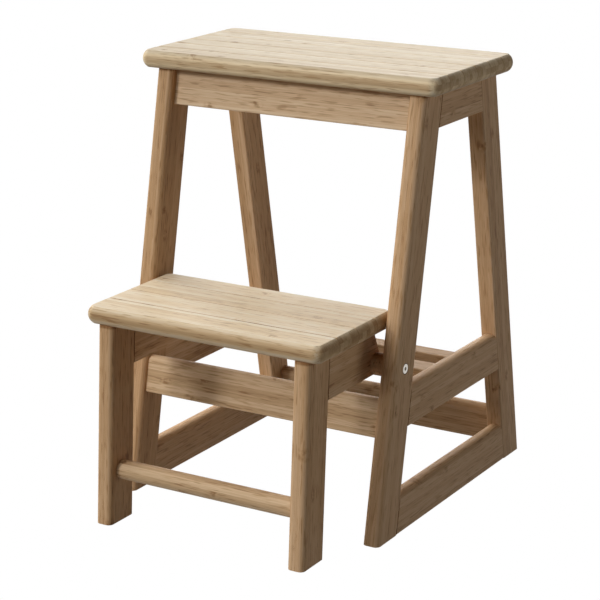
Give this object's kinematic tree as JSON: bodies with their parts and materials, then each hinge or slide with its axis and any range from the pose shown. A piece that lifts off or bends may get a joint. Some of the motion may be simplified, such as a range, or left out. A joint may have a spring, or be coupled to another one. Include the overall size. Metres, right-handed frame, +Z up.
{
  "type": "folding step stool",
  "caption": "Solid bamboo step stool: a seat on leaning legs, with a lower step that swings up on side pivots and folds away between the legs.",
  "frame": {"origin": "on the floor, at the middle of the bottom of the whole stool's box with the step down", "axes": "+Z up, the step stands out towards -Y, X runs along the seat and the steps"},
  "size_m": [0.3774, 0.4594, 0.5],
  "materials": {
    "bamboo_board": "clear satin varnish",
    "bamboo_frame": "clear satin varnish",
    "tenon_wood": "bare",
    "steel": "zinc plated"
  },
  "bodies": {
    "seat_frame": {"seat_board": "bamboo_board", "front_apron": "bamboo_frame", "rear_apron": "bamboo_frame", "front_crossbar": "bamboo_frame", "rear_crossbar": "bamboo_frame", "front_slat": "bamboo_frame", "rear_slat": "bamboo_frame", "front_leg_left": "bamboo_frame", "rear_leg_left": "bamboo_frame", "top_side_rail_left": "bamboo_frame", "middle_side_rail_left": "bamboo_frame", "bottom_side_rail_left": "bamboo_frame", "pivot_spacer_left": "bamboo_frame", "pivot_sleeve_left": "steel", "pivot_bolt_left": "steel", "side_tenons_left": "tenon_wood", "front_leg_right": "bamboo_frame", "rear_leg_right": "bamboo_frame", "top_side_rail_right": "bamboo_frame", "middle_side_rail_right": "bamboo_frame", "bottom_side_rail_right": "bamboo_frame", "pivot_spacer_right": "bamboo_frame", "pivot_sleeve_right": "steel", "pivot_bolt_right": "steel", "side_tenons_right": "tenon_wood", "crossbar_tenons": "tenon_wood", "slat_tenons": "tenon_wood", "seat_tenons": "tenon_wood"},
    "step": {"step_board": "bamboo_board", "step_leg_left": "bamboo_frame", "step_side_rail_left": "bamboo_frame", "step_leg_right": "bamboo_frame", "step_side_rail_right": "bamboo_frame", "step_foot_bar": "bamboo_frame", "step_tenons": "tenon_wood"}
  },
  "joints": [
    {"name": "step_fold", "type": "hinge", "parent": "seat_frame", "child": "step", "pos_m": [0, -0.07415, 0.188], "axis": [-1, 0, 0], "range_deg": [0, 169.5]}
  ]
}
